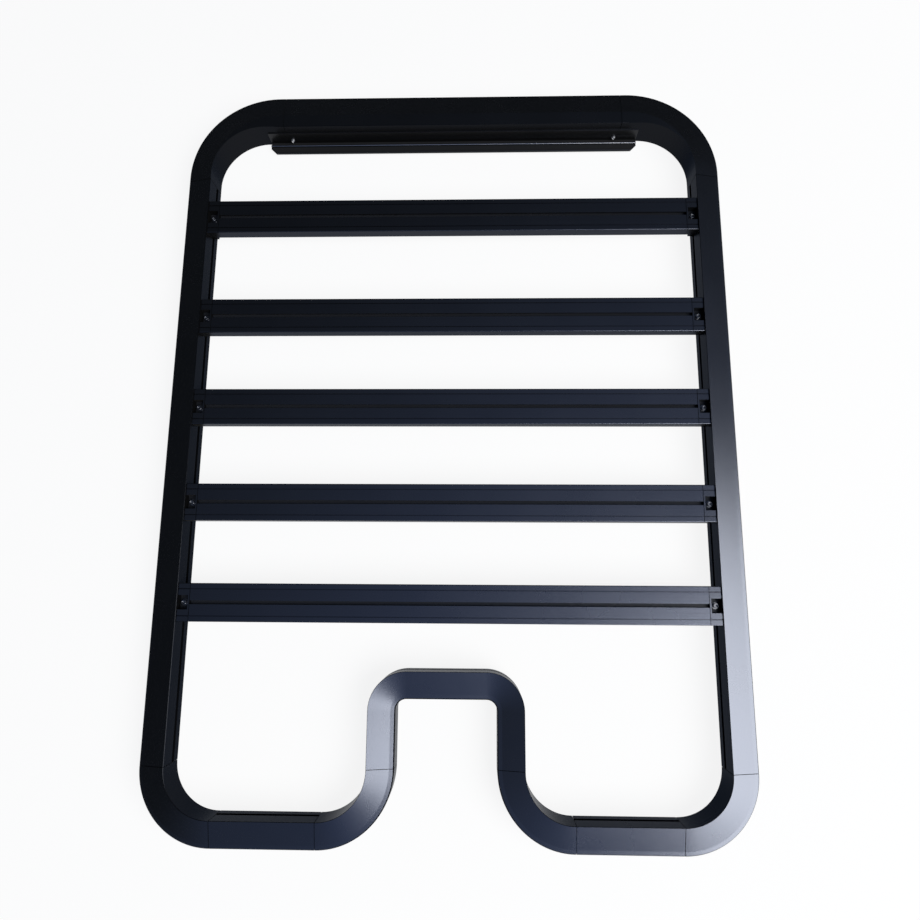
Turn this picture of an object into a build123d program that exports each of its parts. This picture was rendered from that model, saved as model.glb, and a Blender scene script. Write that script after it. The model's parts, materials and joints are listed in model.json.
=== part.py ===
from build123d import *
from math import degrees
import os

# Overall size, with the front of the rack at +Y and the underside at Z = 0
overall_width = 1250.0
overall_length = 1684.0

# Perimeter rail section: a face that falls outwards, a flatter band along it and a bevelled outer edge
rail_height = 68.0
rail_width = 56.0
front_rail_width = 86.0
face_drop = 11.0
band_width = 10.0
band_drop = 1.4
edge_width = 2.5
edge_height = 4.0
inner_edge_chamfer = 0.8
base_edge_chamfer = 3.0
rail_wall = 3.0

# Locating groove along the inner wall of the extruded rails
groove_base = 18.0
groove_height = 11.0
groove_depth = 10.0

# Plan shape of the frame and of the aerial notch in its rear edge
front_corner_radius = 209.0
front_corner_lead = 12.0
front_opening_radius = 118.0
rear_corner_radius = 154.0
notch_width = 208.0
notch_depth = 289.0
notch_bend_radius = 22.0

# Corner castings: shells open below, with ribs, that plug into the rails and leave a thin seam
cast_wall = 4.0
cast_rib = 5.0
cast_pocket_count = 3
seam_gap = 1.2
spigot_length = 40.0
spigot_clearance = 0.3

# Cross slats: hollow planks with a T-slot down the middle and two fine lines beside it
slat_count = 5
slat_width = 80.0
slat_thickness = 26.0
slat_drop = 4.0
slat_wall = 2.5
slat_top_radius = 1.5
slat_base_chamfer = 1.5
slat_line_offset = 28.0
slat_line_width = 2.2
slat_line_depth = 1.5
slat_seam_depth = 2.0
slot_mouth = 8.0
slot_lip = 3.0
slot_channel_width = 17.0
slot_channel_height = 8.0

# Slat places: the front bay is wider than the others
front_slat_inset = 318.0
rear_slat_inset = 481.0
front_bay_extra = 33.0

# Slat end connectors: a bolt pocket open to the rail, and a heel with a tongue in the groove
connector_length = 25.0
connector_end_wall = 3.0
pocket_width = 30.0
pocket_depth = 18.0
plug_length = 22.0
plug_clearance = 0.3
heel_width = 60.0
heel_thickness = 10.0
heel_toe = 5.0
tongue_depth = 8.0
tongue_clearance = 0.25

# Folded mounting strip inside the front rail
strip_end_gap = 3.0
strip_thickness = 2.5
strip_base = 6.0
strip_flange = 38.0
strip_shelf = 34.0
strip_lip = 7.0
strip_bend_radius = 4.0
strip_bead_radius = 3.0
strip_bead_offset = 11.0
strip_end_chamfer = 16.0

# Places that follow from the sizes above
half_width = overall_width / 2
half_length = overall_length / 2
inner_wall_x = half_width - rail_width
front_wall_y = half_length - front_rail_width
rear_wall_y = rail_width - half_length
front_seam = front_corner_radius + front_corner_lead
notch_half = notch_width / 2
notch_end_y = notch_depth - half_length
corner_outer_x = half_width - rear_corner_radius
corner_notch_x = notch_half + rear_corner_radius
corner_y = rear_corner_radius - half_length
slat_top = rail_height - slat_drop
slat_base = slat_top - slat_thickness
slat_end_x = inner_wall_x - connector_length
groove_keep = groove_depth + rail_wall
low_left = (Align.MIN, Align.MIN)
low_middle = (Align.CENTER, Align.MIN)
high_middle = (Align.CENTER, Align.MAX)


def section_plane(x, y, angle):
    """Upright plane at (x, y, 0): its x runs outwards at the angle, its y runs up."""
    outward = Vector(1, 0, 0).rotate(Axis.Z, angle)
    return Plane(origin=(x, y, 0), x_dir=outward, z_dir=outward.cross(Vector(0, 0, 1)))


def rail_crest(width):
    """Top points of a rail: the head of its face, and a level ledge inside it on a wider rail."""
    ledge = width - rail_width
    crest = [(ledge, rail_height)]
    if ledge > 0:
        crest.append((0, rail_height))
    return crest


def rail_outline(width):
    """Outer outline of a rail, from its inner wall at x = 0 to its outer wall."""
    band_top = rail_height - face_drop
    edge_top = band_top - band_drop
    points = [
        (0, 0),
        (width, 0),
        (width, edge_top - edge_height),
        (width - edge_width, edge_top),
        (width - band_width, band_top),
    ]
    outline = make_face(Polyline(*points, *rail_crest(width), close=True))
    base_corner = outline.vertices().group_by(Axis.Y)[0].sort_by(Axis.X)[-1]
    outline = chamfer(base_corner, base_edge_chamfer)
    inner_corner = outline.vertices().group_by(Axis.X)[0].sort_by(Axis.Y)[-1]
    return chamfer(inner_corner, inner_edge_chamfer)


def groove_section(margin):
    """Rectangle of the locating groove, grown by a margin."""
    size = (groove_depth + margin, groove_height + 2 * margin)
    return Pos(0, groove_base - margin) * Rectangle(*size, align=low_left)


def hollow_outline(width, wall):
    """Inside of a rail, one wall in from its base, its sides and its face."""
    face_slope = face_drop / (rail_width - band_width)
    face_foot = rail_height - face_slope * rail_width
    points = [(0, 0), (width, 0), (width, face_foot)]
    core = make_face(Polyline(*points, *rail_crest(width), close=True))
    return offset(core, -wall, kind=Kind.INTERSECTION)


def extruded_section(width):
    """Hollow rail section with the locating groove in its inner wall."""
    hollow = hollow_outline(width, rail_wall) - groove_section(rail_wall)
    return rail_outline(width) - groove_section(0) - hollow


def spigot_section(width):
    """Plug that slides into the hollow of a rail, outside the groove."""
    keep = groove_keep + spigot_clearance
    inside = hollow_outline(width, rail_wall + spigot_clearance)
    return inside - Rectangle(keep, rail_height, align=low_left)


def cast_pocket_section():
    """Space under the skin of a casting, open below."""
    mouth = Rectangle(rail_width - 2 * cast_wall, 2 * cast_wall, align=low_left)
    return hollow_outline(rail_width, cast_wall) + Pos(cast_wall, 0) * mouth


def straight_rail(x, y, angle, length, width):
    """Extruded rail from a point on its inner wall, with a seam gap at each end."""
    plane = section_plane(x, y, angle)
    rail = extrude(plane * extruded_section(width), length - 2 * seam_gap)
    return Pos(plane.z_dir * seam_gap) * rail


def spigot(x, y, angle, reach, width):
    """Plug on the end face of a casting; a negative reach points it the other way."""
    return extrude(section_plane(x, y, angle) * spigot_section(width), reach)


def arc_plane(centre_x, centre_y, radius, angle):
    """Section plane on a circle of that radius about a corner's centre."""
    arm = Vector(radius, 0, 0).rotate(Axis.Z, angle)
    return section_plane(centre_x + arm.X, centre_y + arm.Y, angle)


def cast_pockets(centre_x, centre_y, outer_radius, angle):
    """Pockets between the ribs of a casting that turns through 90 degrees from the angle."""
    wall_radius = outer_radius - rail_width
    rib_turn = degrees(cast_rib / wall_radius)
    turn = (90 - rib_turn * (cast_pocket_count + 1)) / cast_pocket_count
    axis = Axis((centre_x, centre_y, 0), (0, 0, 1))
    pockets = []
    for index in range(cast_pocket_count):
        start = angle + rib_turn + index * (turn + rib_turn)
        plane = arc_plane(centre_x, centre_y, wall_radius, start)
        pockets.append(revolve(plane * cast_pocket_section(), axis, turn))
    return pockets


def rear_corner(centre_x, angle):
    """Quarter-round casting that turns through 90 degrees from the angle, with a plug at each end."""
    wall_radius = rear_corner_radius - rail_width
    section = rail_outline(rail_width)
    start = arc_plane(centre_x, corner_y, wall_radius, angle)
    end = arc_plane(centre_x, corner_y, wall_radius, angle + 90)
    casting = revolve(start * section, Axis((centre_x, corner_y, 0), (0, 0, 1)), 90)
    casting -= cast_pockets(centre_x, corner_y, rear_corner_radius, angle)
    casting += spigot(start.origin.X, start.origin.Y, angle, spigot_length, rail_width)
    return casting + spigot(end.origin.X, end.origin.Y, angle + 90, -spigot_length, rail_width)


def front_opening():
    """Front right corner of the frame's opening as a cutter."""
    reach = front_seam + front_opening_radius
    corner = Pos(inner_wall_x - reach, front_wall_y - reach) * Rectangle(reach, reach, align=low_left)
    tip = corner.vertices().group_by(Axis.X)[-1].sort_by(Axis.Y)[-1]
    return extrude(fillet(tip, front_opening_radius), rail_height)


def front_right_corner():
    """Corner casting that widens from the side rail's section to the front rail's."""
    centre_x = half_width - front_corner_radius
    centre_y = half_length - front_corner_radius
    wall_radius = front_corner_radius - front_rail_width
    section = rail_outline(front_rail_width)
    side = arc_plane(centre_x, centre_y, wall_radius, 0)
    front = arc_plane(centre_x, centre_y, wall_radius, 90)
    casting = revolve(side * section, Axis((centre_x, centre_y, 0), (0, 0, 1)), 90)
    casting += extrude(side * section, front_corner_lead)
    casting += extrude(front * section, -front_corner_lead)
    casting -= front_opening()
    casting -= cast_pockets(centre_x, centre_y, front_corner_radius, 0)
    casting += spigot(inner_wall_x, half_length - front_seam, 0, spigot_length, rail_width)
    return casting + spigot(half_width - front_seam, front_wall_y, 90, -spigot_length, front_rail_width)


def notch_bow():
    """Rail bent into a U round the notch, with its outer edge towards the notch."""
    foot_y = corner_y + seam_gap
    wall_x = notch_half + rail_width
    wall_y = notch_end_y + rail_width
    bend = notch_bend_radius + rail_width
    path = Wire(
        [
            Line((-wall_x, foot_y), (-wall_x, wall_y - bend)),
            RadiusArc((-wall_x, wall_y - bend), (bend - wall_x, wall_y), bend),
            Line((bend - wall_x, wall_y), (wall_x - bend, wall_y)),
            RadiusArc((wall_x - bend, wall_y), (wall_x, wall_y - bend), bend),
            Line((wall_x, wall_y - bend), (wall_x, foot_y)),
        ]
    )
    return sweep(section_plane(-wall_x, foot_y, 0) * extruded_section(rail_width), path)


def slat_outline():
    """Outer outline of a slat, with x across the slat and y up, and its two fine lines."""
    plank = Rectangle(slat_width, slat_thickness, align=low_middle)
    plank = fillet(plank.vertices().group_by(Axis.Y)[-1], slat_top_radius)
    plank = chamfer(plank.vertices().group_by(Axis.Y)[0], slat_base_chamfer)
    line = Rectangle(slat_line_width, slat_line_depth, align=high_middle)
    for side in (-1, 1):
        plank -= Pos(side * slat_line_offset, slat_thickness) * line
    return plank


def slat_slot():
    """T-slot that opens through the top of a slat."""
    mouth = Rectangle(slot_mouth, slot_lip, align=high_middle)
    channel = Rectangle(slot_channel_width, slot_channel_height, align=high_middle)
    return Pos(0, slat_thickness) * mouth + Pos(0, slat_thickness - slot_lip) * channel


def slat_hollows(clearance):
    """Hollows on both sides of the T-slot, drawn smaller by a clearance."""
    gap = slat_wall + clearance
    span = (slat_width - slot_channel_width) / 2 - 2 * gap
    height = slat_thickness - slat_line_depth - 2 * gap
    middle = (slat_width + slot_channel_width) / 4
    hollow = Rectangle(span, height, align=low_middle)
    return [Pos(side * middle, gap) * hollow for side in (-1, 1)]


def slat_plane(x, y):
    """Upright plane across a slat, on its underside."""
    return Plane(origin=(x, y, slat_base), x_dir=(0, 1, 0), z_dir=(1, 0, 0))


def slat(y):
    """Slat that butts against its two connectors, with a shallow seam across its top at each end."""
    section = slat_outline() - slat_slot() - slat_hollows(0)
    plank = extrude(slat_plane(-slat_end_x, y) * section, 2 * slat_end_x)
    seam = Box(seam_gap, slat_width, slat_seam_depth, align=(Align.CENTER, Align.CENTER, Align.MAX))
    for side in (-1, 1):
        plank -= Pos(side * (slat_end_x - seam_gap / 2), y, slat_top) * seam
    return plank


def connector_heel(y):
    """Heel under a connector, with a tongue that sits in the groove of the right side rail."""
    tongue_low = groove_base + tongue_clearance
    tongue_high = groove_base + groove_height - tongue_clearance
    heel_low = tongue_low - heel_toe
    tongue_x = inner_wall_x + tongue_depth
    heel_x = inner_wall_x - heel_thickness
    outline = Polyline(
        (inner_wall_x, slat_base),
        (slat_end_x, slat_base),
        (heel_x, tongue_low),
        (heel_x, heel_low),
        (inner_wall_x, heel_low),
        (inner_wall_x, tongue_low),
        (tongue_x, tongue_low),
        (tongue_x, tongue_high),
        (inner_wall_x, tongue_high),
        close=True,
    )
    plane = Plane(origin=(0, y + heel_width / 2, 0), x_dir=(1, 0, 0), z_dir=(0, -1, 0))
    return extrude(plane * make_face(outline), heel_width)


def right_connector(y):
    """Connector between a slat and the right side rail."""
    plane = slat_plane(slat_end_x, y)
    pocket_length = connector_length - connector_end_wall
    pocket = Box(pocket_length, pocket_width, pocket_depth, align=(Align.MAX, Align.CENTER, Align.MAX))
    block = extrude(plane * slat_outline(), connector_length) + connector_heel(y)
    block -= Pos(inner_wall_x, y, slat_top) * pocket
    for plug in slat_hollows(plug_clearance):
        block += extrude(plane * plug, -plug_length)
    return block


def front_strip():
    """Folded strip on the inner wall of the front rail: flange, beaded shelf and turned-up lip."""
    shelf_top = strip_base + strip_thickness
    lip_outer = strip_thickness - strip_shelf
    outline = Polyline(
        (0, strip_base),
        (0, strip_base + strip_flange),
        (-strip_thickness, strip_base + strip_flange),
        (-strip_thickness, shelf_top),
        (lip_outer, shelf_top),
        (lip_outer, strip_base + strip_lip),
        (-strip_shelf, strip_base + strip_lip),
        (-strip_shelf, strip_base),
        close=True,
    )
    sheet = make_face(outline)
    sheet = fillet(sheet.vertices().group_by(Axis.Y)[0], strip_bend_radius)
    bead = Pos(-strip_bead_offset, shelf_top) * Circle(strip_bead_radius)
    sheet += bead - Pos(-strip_bead_offset, shelf_top) * Rectangle(
        2 * strip_bead_radius, strip_bead_radius, align=high_middle
    )
    strip_half = inner_wall_x - front_opening_radius - strip_end_gap
    strip = extrude(section_plane(-strip_half, front_wall_y, 90) * sheet, 2 * strip_half)
    plan = Pos(0, front_wall_y) * Rectangle(2 * strip_half, strip_shelf, align=high_middle)
    plan = chamfer(plan.vertices().group_by(Axis.Y)[0], strip_end_chamfer)
    return strip & extrude(plan, rail_height)


parts = {}

# Straight rails of the perimeter
side_length = overall_length - front_seam - rear_corner_radius
front_length = overall_width - 2 * front_seam
rear_length = corner_outer_x - corner_notch_x
front_seam_y = half_length - front_seam
parts["front_rail"] = straight_rail(-front_length / 2, front_wall_y, 90, front_length, front_rail_width)
parts["left_side_rail"] = straight_rail(-inner_wall_x, corner_y, 180, side_length, rail_width)
parts["right_side_rail"] = straight_rail(inner_wall_x, front_seam_y, 0, side_length, rail_width)
parts["rear_left_rail"] = straight_rail(-corner_notch_x, rear_wall_y, 270, rear_length, rail_width)
parts["rear_right_rail"] = straight_rail(corner_outer_x, rear_wall_y, 270, rear_length, rail_width)

# Corner castings and the bow round the notch
parts["front_right_corner"] = front_right_corner()
parts["front_left_corner"] = mirror(parts["front_right_corner"], Plane.YZ)
parts["rear_left_corner"] = rear_corner(-corner_outer_x, 180)
parts["rear_right_corner"] = rear_corner(corner_outer_x, 270)
parts["notch_left_corner"] = rear_corner(-corner_notch_x, 270)
parts["notch_right_corner"] = rear_corner(corner_notch_x, 180)
parts["notch_bow"] = notch_bow()

# Slats and their connectors, numbered from the front
front_slat_y = half_length - front_slat_inset
rear_slat_y = rear_slat_inset - half_length
slat_pitch = (front_slat_y - front_bay_extra - rear_slat_y) / (slat_count - 1)
for number in range(1, slat_count + 1):
    bays_behind = slat_count - number
    y = front_slat_y if number == 1 else rear_slat_y + bays_behind * slat_pitch
    parts[f"slat_{number}"] = slat(y)
    parts[f"slat_{number}_right_connector"] = right_connector(y)
    parts[f"slat_{number}_left_connector"] = mirror(parts[f"slat_{number}_right_connector"], Plane.YZ)

parts["front_strip"] = front_strip()

os.makedirs("parts", exist_ok=True)
for name, shape in parts.items():
    export_step(shape, f"parts/{name}.step")
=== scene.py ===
import json
from math import cos, pi, radians, sin

import bpy
from mathutils import Matrix, Vector


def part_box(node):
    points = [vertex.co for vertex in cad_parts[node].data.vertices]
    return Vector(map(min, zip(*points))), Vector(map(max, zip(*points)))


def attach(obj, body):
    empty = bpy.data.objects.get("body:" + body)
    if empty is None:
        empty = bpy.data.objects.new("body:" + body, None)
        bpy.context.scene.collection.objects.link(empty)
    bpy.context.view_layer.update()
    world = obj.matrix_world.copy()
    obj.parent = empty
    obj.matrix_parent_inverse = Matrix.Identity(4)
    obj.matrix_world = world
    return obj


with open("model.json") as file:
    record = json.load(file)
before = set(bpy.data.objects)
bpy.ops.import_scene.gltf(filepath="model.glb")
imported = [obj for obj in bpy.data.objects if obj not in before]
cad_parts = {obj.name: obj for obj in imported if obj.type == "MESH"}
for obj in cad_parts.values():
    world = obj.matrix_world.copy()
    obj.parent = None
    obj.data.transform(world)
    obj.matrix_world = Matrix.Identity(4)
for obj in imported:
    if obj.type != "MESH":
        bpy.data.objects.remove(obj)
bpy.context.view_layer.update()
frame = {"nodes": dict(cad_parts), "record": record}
nodes = frame["nodes"]

# Camera, in metres and pixels: nearly square above the rack, a little to its right and rear
CAMERA_PLACE = Vector((0.0631, -0.3297, 1.5268))
CAMERA_AIM = Vector((0.0235, -0.0433, 0.0))
CAMERA_UP = Vector((-0.0017, 0.9828, 0.1844))
FOCAL_PIXELS = 686.96
IMAGE_PIXELS = 920
SENSOR_WIDTH = 36.0

# Softbox, in metres: large, above the rack's right and rear
SOFTBOX_AZIMUTH = radians(-30.3)
SOFTBOX_ELEVATION = radians(46.4)
SOFTBOX_ROLL = radians(52.5)
SOFTBOX_DISTANCE = 8.0
SOFTBOX_WIDTH = 5.8
SOFTBOX_HEIGHT = 6.5
SOFTBOX_RADIANCE = 6.7
SOFTBOX_COLOR = (1.0, 0.989, 0.935)

# Room: dim, and lighter overhead, to the right and behind, where it is also bluer
ROOM_LEVEL = -0.183
ROOM_RISE = (0.1745, -0.205, 0.385)
ROOM_LEAST = 0.031
ROOM_FULL = 0.30
ROOM_DIM_COLOR = (0.854, 1.0, 1.124, 1.0)
ROOM_FULL_COLOR = (0.657, 1.0, 2.083, 1.0)

# Floor: a pale disc, a hair below the rack's underside so that the two don't share a plane.
# What is seen of it is plain white by this share, and the rest is lit and takes the shadow.
FLOOR_DROP = 0.0003
FLOOR_RADIUS = 14.0
FLOOR_SIDES = 96
FLOOR_COLOR = (0.92, 0.92, 0.92, 1.0)
FLOOR_WHITE_SHARE = 0.88

# Satin coat: its tint and dusty sheen where it is seen edge on, and its grain.
# A surface whose normal points up by less than the limit counts as a wall, where the coat is
# darkened as painted shade.
COAT_GRAZING_TINT = (0.45, 0.46, 0.48, 1.0)
COAT_SHEEN = 0.02
WALL_LIMIT = 0.80
FULL_TONE = 1.0
CLOUD_DETAIL = 5.0
GRAIN_DETAIL = 2.0
GRAIN_DEPTH = 0.0002
GRAIN_STRENGTH = 0.08

# Lines drawn along the extruded pieces, broader ones on the slats
LINES_ALONG_X = (3.0, 900.0, 900.0)
LINES_ALONG_Y = (900.0, 3.0, 900.0)
BROAD_LINES_ALONG_X = (2.0, 260.0, 260.0)
LINE_SCALE = 1.0
LINE_DETAIL = 3.0
LINE_DEPTH = 0.0002
LINE_STRENGTH = 0.06
BROAD_LINE_STRENGTH = 0.20

# The coat on each kind of piece. Levels are heights in metres, below which an upward face is
# in a recess, such as a slat's fine line, or deep down, such as a slot's floor.
# Wall, recess and deep tones darken the coat on those faces as painted shade; deep faces are
# also matt.
RAIL_COAT = {
    "Coat": (0.089, 0.095, 0.114, 1.0),
    "Thin Coat": (0.097, 0.103, 0.123, 1.0),
    "Painted Wall Shade": 0.12,
}
CAST_COAT = {
    "Coat": (0.088, 0.094, 0.113, 1.0),
    "Thin Coat": (0.099, 0.105, 0.124, 1.0),
    "Painted Wall Shade": 0.12,
    "Grain Scale": 900.0,
}
CONNECTOR_COAT = {
    "Coat": (0.088, 0.094, 0.113, 1.0),
    "Thin Coat": (0.099, 0.105, 0.124, 1.0),
    "Painted Wall Shade": 0.30,
    "Painted Recess Shade Tone": 0.35,
    "Painted Recess Shade Level": 0.0632,
    "Painted Deep Shade Tone": 0.5,
    "Painted Deep Shade Level": 0.06,
    "Grain Scale": 900.0,
}
SLAT_COAT = {
    "Coat": (0.088, 0.095, 0.117, 1.0),
    "Thin Coat": (0.096, 0.103, 0.127, 1.0),
    "Painted Wall Shade": 0.40,
    "Painted Recess Shade Tone": 0.60,
    "Painted Recess Shade Level": 0.0632,
    "Painted Deep Shade Tone": 0.33,
    "Painted Deep Shade Level": 0.06,
}
STRIP_COAT = {
    "Coat": (0.250, 0.255, 0.270, 1.0),
    "Thin Coat": (0.280, 0.285, 0.300, 1.0),
    "Painted Wall Shade": 0.13,
    "Painted Deep Shade Tone": 0.055,
    "Painted Deep Shade Level": 0.010,
    "Smooth": 0.26,
    "Rough": 0.32,
}

# Plate on the bolts
PLATE_FINISH = {"Cloud Scale": 160.0, "Smooth": 0.22, "Rough": 0.36}
BLACK_PLATE = {"Coat": (0.16, 0.165, 0.18, 1.0), "Thin Coat": (0.24, 0.245, 0.26, 1.0)}
ZINC_PLATE = {"Coat": (0.50, 0.51, 0.53, 1.0), "Thin Coat": (0.62, 0.62, 0.63, 1.0)}
PLATE_GRAIN_DEPTH = 0.0001
PLATE_GRAIN_STRENGTH = 0.05

# Bolts, in metres. The socket's floor is a share of the head's height thick, and reaches a
# share of the head's wall into it.
POCKET_BOLT = {
    "Washer Radius": 0.0070,
    "Washer Thickness": 0.0012,
    "Head Radius": 0.0054,
    "Socket Radius": 0.0030,
    "Head Height": 0.0060,
}
STRIP_BOLT = {
    "Washer Radius": 0.0050,
    "Washer Thickness": 0.0010,
    "Head Radius": 0.0040,
    "Socket Radius": 0.0021,
    "Head Height": 0.0036,
}
BOLT_SIDES = 32
HEAD_FILLET = 0.0009
HEAD_FILLET_STEPS = 3
SOCKET_FLOOR_SHARE = 0.35
SOCKET_FLOOR_REACH = 0.3
HEAD_UP = (0.0, 0.0, 0.0)
HEAD_TO_REAR = (radians(90), 0.0, 0.0)

# Where the bolts sit on the slat end connectors and the front strip, in metres
SLAT_COUNT = 5
TONGUE_DEPTH = 0.008
POCKET_DEPTH = 0.018
POCKET_BOLT_INSET = 0.009
STRIP_THICKNESS = 0.0025
STRIP_BOLT_SPAN = 0.784
STRIP_BOLT_HEIGHT = 0.014

# Places of a Mix node's colour sockets, which share their names with its number sockets
MIX_COLOR_A = 6
MIX_COLOR_B = 7
MIX_COLOR_RESULT = 2


def give(tree, socket, value):
    """Link a socket to another one, or set it to a plain value."""
    if isinstance(value, bpy.types.NodeSocket):
        tree.links.new(value, socket)
    else:
        socket.default_value = value


def math_node(tree, operation, first, second):
    """Result of a Math node on two values."""
    node = tree.nodes.new("ShaderNodeMath")
    node.operation = operation
    give(tree, node.inputs[0], first)
    give(tree, node.inputs[1], second)
    return node.outputs["Value"]


def noise(tree, vector, scale, detail):
    """Noise texture on a vector."""
    texture = tree.nodes.new("ShaderNodeTexNoise")
    give(tree, texture.inputs["Vector"], vector)
    give(tree, texture.inputs["Scale"], scale)
    give(tree, texture.inputs["Detail"], detail)
    return texture.outputs["Fac"]


def height_part(tree, vector):
    """Z of a vector."""
    split = tree.nodes.new("ShaderNodeSeparateXYZ")
    give(tree, split.inputs["Vector"], vector)
    return split.outputs["Z"]


def blend(tree, share, low, high):
    """Number that runs from low to high as the share runs from 0 to 1."""
    node = tree.nodes.new("ShaderNodeMapRange")
    give(tree, node.inputs["Value"], share)
    give(tree, node.inputs["To Min"], low)
    give(tree, node.inputs["To Max"], high)
    return node.outputs["Result"]


def blend_colors(tree, share, low, high):
    """Colour that runs from low to high as the share runs from 0 to 1."""
    node = tree.nodes.new("ShaderNodeMix")
    node.data_type = "RGBA"
    give(tree, node.inputs["Factor"], share)
    give(tree, node.inputs[MIX_COLOR_A], low)
    give(tree, node.inputs[MIX_COLOR_B], high)
    return node.outputs[MIX_COLOR_RESULT]


def bump(tree, height, distance, strength, below=None):
    """Bump node on a height, over another bump where there is one."""
    node = tree.nodes.new("ShaderNodeBump")
    give(tree, node.inputs["Height"], height)
    give(tree, node.inputs["Distance"], distance)
    give(tree, node.inputs["Strength"], strength)
    if below is not None:
        give(tree, node.inputs["Normal"], below)
    return node.outputs["Normal"]


def new_group(name, inputs, outputs):
    """Empty shader node group with its named sockets, and its two end nodes."""
    group = bpy.data.node_groups.new(name, "ShaderNodeTree")
    for label, kind, value in inputs:
        socket = group.interface.new_socket(label, in_out="INPUT", socket_type=kind)
        socket.default_value = value
    for label, kind in outputs:
        group.interface.new_socket(label, in_out="OUTPUT", socket_type=kind)
    return group, group.nodes.new("NodeGroupInput"), group.nodes.new("NodeGroupOutput")


def place_group(tree, group, values):
    """Outputs of a group that is placed with its own values."""
    node = tree.nodes.new("ShaderNodeGroup")
    node.node_tree = group
    for label, value in values.items():
        node.inputs[label].default_value = value
    return node.outputs


def satin_coat_group():
    """Satin coat: cloudy, with painted shade on walls and in recesses, matt with painted shade
    deep down, and a fine grain.
    """
    group, start, end = new_group(
        "satin_coat",
        [
            ("Coat", "NodeSocketColor", (0.06, 0.06, 0.07, 1.0)),
            ("Thin Coat", "NodeSocketColor", (0.07, 0.07, 0.08, 1.0)),
            ("Painted Wall Shade", "NodeSocketFloat", FULL_TONE),
            ("Painted Recess Shade Tone", "NodeSocketFloat", FULL_TONE),
            ("Painted Recess Shade Level", "NodeSocketFloat", 0.0),
            ("Painted Deep Shade Tone", "NodeSocketFloat", FULL_TONE),
            ("Painted Deep Shade Level", "NodeSocketFloat", 0.0),
            ("Cloud Scale", "NodeSocketFloat", 7.0),
            ("Grain Scale", "NodeSocketFloat", 1400.0),
            ("Smooth", "NodeSocketFloat", 0.24),
            ("Rough", "NodeSocketFloat", 0.30),
        ],
        [
            ("Color", "NodeSocketColor"),
            ("Metallic", "NodeSocketFloat"),
            ("Roughness", "NodeSocketFloat"),
            ("Height", "NodeSocketFloat"),
        ],
    )
    values = start.outputs
    place = group.nodes.new("ShaderNodeTexCoord").outputs["Object"]
    cloud = noise(group, place, values["Cloud Scale"], CLOUD_DETAIL)
    grain = noise(group, place, values["Grain Scale"], GRAIN_DETAIL)

    normal = group.nodes.new("ShaderNodeNewGeometry").outputs["Normal"]
    # Painted shade: the coat is darkened on walls and undersides, and on upward faces below the
    # recess and deep levels.
    upward = math_node(group, "GREATER_THAN", height_part(group, normal), WALL_LIMIT)
    height = height_part(group, place)
    tone = blend(group, upward, values["Painted Wall Shade"], FULL_TONE)
    # Each pass paints shade on upward faces below its level; the last mask also makes deep faces
    # matt.
    for depth in ("Painted Recess Shade", "Painted Deep Shade"):
        below = math_node(group, "LESS_THAN", height, values[depth + " Level"])
        inside = math_node(group, "MULTIPLY", upward, below)
        hollow_painted_shade = blend(group, inside, FULL_TONE, values[depth + " Tone"])
        tone = math_node(group, "MULTIPLY", tone, hollow_painted_shade)
    shade_painted_color = group.nodes.new("ShaderNodeVectorMath")
    shade_painted_color.operation = "SCALE"
    color = blend_colors(group, cloud, values["Coat"], values["Thin Coat"])
    give(group, shade_painted_color.inputs["Vector"], color)
    give(group, shade_painted_color.inputs["Scale"], tone)

    give(group, end.inputs["Color"], shade_painted_color.outputs["Vector"])
    give(group, end.inputs["Metallic"], math_node(group, "SUBTRACT", 1.0, inside))
    give(group, end.inputs["Roughness"], blend(group, cloud, values["Smooth"], values["Rough"]))
    give(group, end.inputs["Height"], grain)
    return group


def drawn_lines_group():
    """Faint lines that an extruded piece keeps along its length."""
    group, start, end = new_group(
        "drawn_lines",
        [("Stretch", "NodeSocketVector", (1.0, 1.0, 1.0))],
        [("Height", "NodeSocketFloat")],
    )
    mapping = group.nodes.new("ShaderNodeMapping")
    place = group.nodes.new("ShaderNodeTexCoord").outputs["Object"]
    give(group, mapping.inputs["Vector"], place)
    give(group, mapping.inputs["Scale"], start.outputs["Stretch"])
    lines = noise(group, mapping.outputs["Vector"], LINE_SCALE, LINE_DETAIL)
    give(group, end.inputs["Height"], lines)
    return group


def coated_metal(name, coat_values, stretch=None, strength=LINE_STRENGTH):
    """Blue-black satin coat on aluminium, with drawn lines on extruded pieces."""
    material = bpy.data.materials.new(name)
    material.use_nodes = True
    tree = material.node_tree
    shader = tree.nodes["Principled BSDF"]
    shader.inputs["Specular Tint"].default_value = COAT_GRAZING_TINT
    shader.inputs["Sheen Weight"].default_value = COAT_SHEEN
    coat = place_group(tree, SATIN_COAT, coat_values)
    give(tree, shader.inputs["Base Color"], coat["Color"])
    give(tree, shader.inputs["Roughness"], coat["Roughness"])
    if "Painted Deep Shade Level" in coat_values:
        give(tree, shader.inputs["Metallic"], coat["Metallic"])
    else:
        shader.inputs["Metallic"].default_value = 1.0
    normal = bump(tree, coat["Height"], GRAIN_DEPTH, GRAIN_STRENGTH)
    if stretch is not None:
        lines = place_group(tree, DRAWN_LINES, {"Stretch": stretch})
        normal = bump(tree, lines["Height"], LINE_DEPTH, strength, normal)
    give(tree, shader.inputs["Normal"], normal)
    return material


def plated_steel(name, plate_colors):
    """Plate on the bolts, with a lighter tone where it is worn."""
    material = bpy.data.materials.new(name)
    material.use_nodes = True
    tree = material.node_tree
    shader = tree.nodes["Principled BSDF"]
    shader.inputs["Metallic"].default_value = 1.0
    plate = place_group(tree, SATIN_COAT, PLATE_FINISH | plate_colors)
    give(tree, shader.inputs["Base Color"], plate["Color"])
    give(tree, shader.inputs["Roughness"], plate["Roughness"])
    normal = bump(tree, plate["Height"], PLATE_GRAIN_DEPTH, PLATE_GRAIN_STRENGTH)
    give(tree, shader.inputs["Normal"], normal)
    return material


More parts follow.
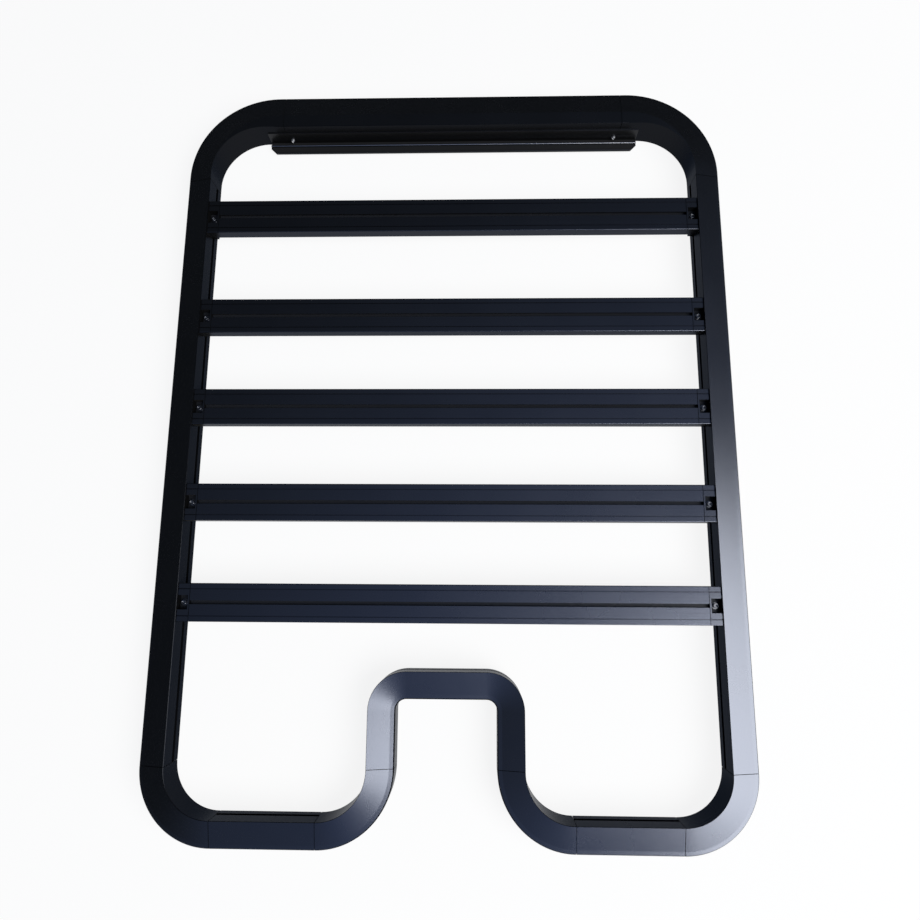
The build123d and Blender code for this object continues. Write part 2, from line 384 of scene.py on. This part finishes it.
def floor_material():
    """White to the eye and in reflections, lit as a pale floor, and clear from below."""
    material = bpy.data.materials.new("pale_floor")
    material.use_nodes = True
    tree = material.node_tree
    tree.nodes.clear()
    pale = tree.nodes.new("ShaderNodeBsdfDiffuse")
    pale.inputs["Color"].default_value = FLOOR_COLOR
    white = tree.nodes.new("ShaderNodeEmission")
    clear = tree.nodes.new("ShaderNodeBsdfTransparent")
    path = tree.nodes.new("ShaderNodeLightPath").outputs
    seen = path["Is Camera Ray"]
    for ray in ("Is Glossy Ray", "Is Transmission Ray"):
        seen = math_node(tree, "MAXIMUM", seen, path[ray])
    white_share = math_node(tree, "MULTIPLY", seen, FLOOR_WHITE_SHARE)
    below = tree.nodes.new("ShaderNodeNewGeometry").outputs["Backfacing"]

    def mix_shaders(share, first, second):
        mix = tree.nodes.new("ShaderNodeMixShader")
        for socket, value in zip(mix.inputs, (share, first, second)):
            tree.links.new(value, socket)
        return mix.outputs["Shader"]

    top = mix_shaders(white_share, pale.outputs["BSDF"], white.outputs["Emission"])
    output = tree.nodes.new("ShaderNodeOutputMaterial")
    one_sided = mix_shaders(below, top, clear.outputs["BSDF"])
    tree.links.new(one_sided, output.inputs["Surface"])
    return material


def mesh_object(name, points, faces):
    """Plain mesh object at the origin."""
    mesh = bpy.data.meshes.new(name)
    mesh.from_pydata(points, [], faces)
    piece = bpy.data.objects.new(name, mesh)
    bpy.context.scene.collection.objects.link(piece)
    return piece


def pale_floor():
    """Flat floor that the rack lies on."""
    step = 2 * pi / FLOOR_SIDES
    arm = Vector((FLOOR_RADIUS, 0.0, -FLOOR_DROP))
    points = [Matrix.Rotation(side * step, 3, "Z") @ arm for side in range(FLOOR_SIDES)]
    floor = mesh_object("floor", points, [list(range(FLOOR_SIDES))])
    floor.data.materials.append(floor_material())


def bolt_tree():
    """Geometry Nodes tree that puts a washer and a ring-headed bolt on each point."""
    tree = bpy.data.node_groups.new("ring_bolts", "GeometryNodeTree")
    add = tree.nodes.new
    link = tree.links.new
    tree.interface.new_socket("Geometry", in_out="INPUT", socket_type="NodeSocketGeometry")
    for label in POCKET_BOLT:
        tree.interface.new_socket(label, in_out="INPUT", socket_type="NodeSocketFloat")
    tree.interface.new_socket("Material", in_out="INPUT", socket_type="NodeSocketMaterial")
    tree.interface.new_socket("Geometry", in_out="OUTPUT", socket_type="NodeSocketGeometry")
    start = add("NodeGroupInput").outputs
    end = add("NodeGroupOutput").inputs

    def math(operation, first, second):
        return math_node(tree, operation, first, second)

    def half(size):
        return math("MULTIPLY", size, 0.5)

    def raised(geometry, height):
        lift = add("ShaderNodeCombineXYZ")
        link(height, lift.inputs["Z"])
        move = add("GeometryNodeTransform")
        link(geometry, move.inputs["Geometry"])
        link(lift.outputs["Vector"], move.inputs["Translation"])
        return move.outputs["Geometry"]

    def disc(radius, depth):
        cylinder = add("GeometryNodeMeshCylinder")
        cylinder.inputs["Vertices"].default_value = BOLT_SIDES
        link(radius, cylinder.inputs["Radius"])
        link(depth, cylinder.inputs["Depth"])
        return cylinder.outputs["Mesh"]

    washer_top = start["Washer Thickness"]
    head_height = start["Head Height"]
    wall = math("SUBTRACT", start["Head Radius"], start["Socket Radius"])

    ring_path = add("GeometryNodeCurvePrimitiveCircle")
    ring_path.inputs["Resolution"].default_value = BOLT_SIDES
    link(math("ADD", start["Socket Radius"], half(wall)), ring_path.inputs["Radius"])
    section = add("GeometryNodeCurvePrimitiveQuadrilateral")
    link(wall, section.inputs["Width"])
    link(head_height, section.inputs["Height"])
    soft_section = add("GeometryNodeFilletCurve")
    soft_section.mode = "POLY"
    soft_section.inputs["Radius"].default_value = HEAD_FILLET
    soft_section.inputs["Count"].default_value = HEAD_FILLET_STEPS
    link(section.outputs["Curve"], soft_section.inputs["Curve"])
    ring = add("GeometryNodeCurveToMesh")
    link(ring_path.outputs["Curve"], ring.inputs["Curve"])
    link(soft_section.outputs["Curve"], ring.inputs["Profile Curve"])

    floor_depth = math("MULTIPLY", head_height, SOCKET_FLOOR_SHARE)
    floor_reach = math("MULTIPLY", wall, SOCKET_FLOOR_REACH)
    floor_radius = math("ADD", start["Socket Radius"], floor_reach)
    washer = raised(disc(start["Washer Radius"], washer_top), half(washer_top))
    head = raised(ring.outputs["Mesh"], math("ADD", washer_top, half(head_height)))
    socket_floor = disc(floor_radius, floor_depth)
    socket_floor = raised(socket_floor, math("ADD", half(floor_depth), washer_top))
    bolt = add("GeometryNodeJoinGeometry")
    for shape in (washer, head, socket_floor):
        link(shape, bolt.inputs["Geometry"])

    turn = add("GeometryNodeInputNamedAttribute")
    turn.data_type = "FLOAT_VECTOR"
    turn.inputs["Name"].default_value = "turn"
    spread = add("GeometryNodeInstanceOnPoints")
    link(start["Geometry"], spread.inputs["Points"])
    link(bolt.outputs["Geometry"], spread.inputs["Instance"])
    link(turn.outputs["Attribute"], spread.inputs["Rotation"])
    realize = add("GeometryNodeRealizeInstances")
    link(spread.outputs["Instances"], realize.inputs["Geometry"])
    finish = add("GeometryNodeSetMaterial")
    link(realize.outputs["Geometry"], finish.inputs["Geometry"])
    link(start["Material"], finish.inputs["Material"])
    link(finish.outputs["Geometry"], end["Geometry"])
    return tree


def ring_bolts(name, places, turn, sizes, material):
    """One mesh of bolts, each on a point and turned so that its head faces outwards."""
    points = mesh_object(name + "_points", places, [])
    attribute = points.data.attributes.new("turn", "FLOAT_VECTOR", "POINT")
    for item in attribute.data:
        item.vector = turn
    modifier = points.modifiers.new("ring_bolts", "NODES")
    modifier.node_group = BOLT_TREE
    values = sizes | {"Material": material}
    for item in BOLT_TREE.interface.items_tree:
        if item.in_out == "INPUT" and item.name in values:
            modifier[item.identifier] = values[item.name]
    evaluated = points.evaluated_get(bpy.context.evaluated_depsgraph_get())
    mesh = bpy.data.meshes.new_from_object(evaluated)
    mesh.name = name
    bpy.data.objects.remove(points)
    piece = bpy.data.objects.new(name, mesh)
    bpy.context.scene.collection.objects.link(piece)
    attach(piece, "root")


def pocket_bolts(material):
    """Bolts that stand in the slat end connectors' pockets."""
    inset = TONGUE_DEPTH + POCKET_BOLT_INSET
    places = []
    for number in range(1, SLAT_COUNT + 1):
        for side in ("left", "right"):
            low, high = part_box(f"slat_{number}_{side}_connector")
            x = low.x + inset if side == "left" else high.x - inset
            places.append((x, (low.y + high.y) / 2, high.z - POCKET_DEPTH))
    ring_bolts("pocket_bolts", places, HEAD_UP, POCKET_BOLT, material)


def strip_bolts(material):
    """Two bolts through the flange of the front strip."""
    low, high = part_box("front_strip")
    y = high.y - STRIP_THICKNESS
    z = low.z + STRIP_BOLT_HEIGHT
    places = [(side * STRIP_BOLT_SPAN / 2, y, z) for side in (-1, 1)]
    ring_bolts("strip_bolts", places, HEAD_TO_REAR, STRIP_BOLT, material)


def softbox():
    """Large soft lamp that faces the rack."""
    lamp = bpy.data.lights.new("softbox", "AREA")
    lamp.shape = "RECTANGLE"
    lamp.size = SOFTBOX_WIDTH
    lamp.size_y = SOFTBOX_HEIGHT
    lamp.color = SOFTBOX_COLOR
    lamp.energy = SOFTBOX_RADIANCE * pi * SOFTBOX_WIDTH * SOFTBOX_HEIGHT
    light = bpy.data.objects.new("softbox", lamp)
    up = Vector((0.0, 0.0, 1.0))
    flat = Vector((cos(SOFTBOX_AZIMUTH), sin(SOFTBOX_AZIMUTH), 0.0))
    towards = flat * cos(SOFTBOX_ELEVATION) + up * sin(SOFTBOX_ELEVATION)
    level = up.cross(towards).normalized()
    turn = Matrix((level, towards.cross(level), towards)).transposed()
    turn = turn @ Matrix.Rotation(SOFTBOX_ROLL, 3, "Z")
    light.matrix_world = Matrix.Translation(towards * SOFTBOX_DISTANCE) @ turn.to_4x4()
    light.visible_camera = False
    bpy.context.scene.collection.objects.link(light)


def dim_room():
    """Low light from the room, which rises along one direction and turns bluer as it rises."""
    world = bpy.data.worlds.new("dim_room")
    world.use_nodes = True
    tree = world.node_tree
    background = tree.nodes["Background"]
    rise = tree.nodes.new("ShaderNodeVectorMath")
    rise.operation = "DOT_PRODUCT"
    towards = tree.nodes.new("ShaderNodeTexCoord").outputs["Generated"]
    give(tree, rise.inputs[0], towards)
    give(tree, rise.inputs[1], ROOM_RISE)
    level = math_node(tree, "ADD", rise.outputs["Value"], ROOM_LEVEL)
    level = math_node(tree, "MAXIMUM", level, ROOM_LEAST)
    share = tree.nodes.new("ShaderNodeMapRange")
    give(tree, share.inputs["Value"], level)
    give(tree, share.inputs["From Min"], ROOM_LEAST)
    give(tree, share.inputs["From Max"], ROOM_FULL)
    color = blend_colors(tree, share.outputs["Result"], ROOM_DIM_COLOR, ROOM_FULL_COLOR)
    give(tree, background.inputs["Strength"], level)
    give(tree, background.inputs["Color"], color)
    bpy.context.scene.world = world


def camera():
    """Camera at its place, aimed at a point on the floor near the rack's middle."""
    data = bpy.data.cameras.new("camera")
    data.sensor_width = SENSOR_WIDTH
    data.lens = SENSOR_WIDTH * FOCAL_PIXELS / IMAGE_PIXELS
    view = bpy.data.objects.new("camera", data)
    back = (CAMERA_PLACE - CAMERA_AIM).normalized()
    right = CAMERA_UP.cross(back).normalized()
    up = back.cross(right)
    turn = Matrix((right, up, back)).transposed().to_4x4()
    view.matrix_world = Matrix.Translation(CAMERA_PLACE) @ turn
    bpy.context.scene.collection.objects.link(view)
    bpy.context.scene.camera = view


SATIN_COAT = satin_coat_group()
DRAWN_LINES = drawn_lines_group()
BOLT_TREE = bolt_tree()

rail_across = coated_metal("rail_coat_across", RAIL_COAT, LINES_ALONG_X)
rail_along = coated_metal("rail_coat_along", RAIL_COAT, LINES_ALONG_Y)
slat_finish = coated_metal("slat_coat", SLAT_COAT, BROAD_LINES_ALONG_X, BROAD_LINE_STRENGTH)
finish_of_slot = {
    "rail_finish": rail_across,
    "corner_finish": coated_metal("cast_coat", CAST_COAT),
    "slat_finish": slat_finish,
    "connector_finish": coated_metal("connector_coat", CONNECTOR_COAT),
    "strip_finish": coated_metal("strip_coat", STRIP_COAT),
}
for part in frame["record"]["subparts"]:
    piece = nodes[part["node"]]
    piece.data.materials.clear()
    piece.data.materials.append(finish_of_slot[part["material_slot"]])
for side in ("left", "right"):
    nodes[f"{side}_side_rail"].data.materials[0] = rail_along

pocket_bolts(plated_steel("bolt_black", BLACK_PLATE))
strip_bolts(plated_steel("bolt_zinc", ZINC_PLATE))

pale_floor()
softbox()
dim_room()
camera()
bpy.context.scene.view_settings.view_transform = "Standard"
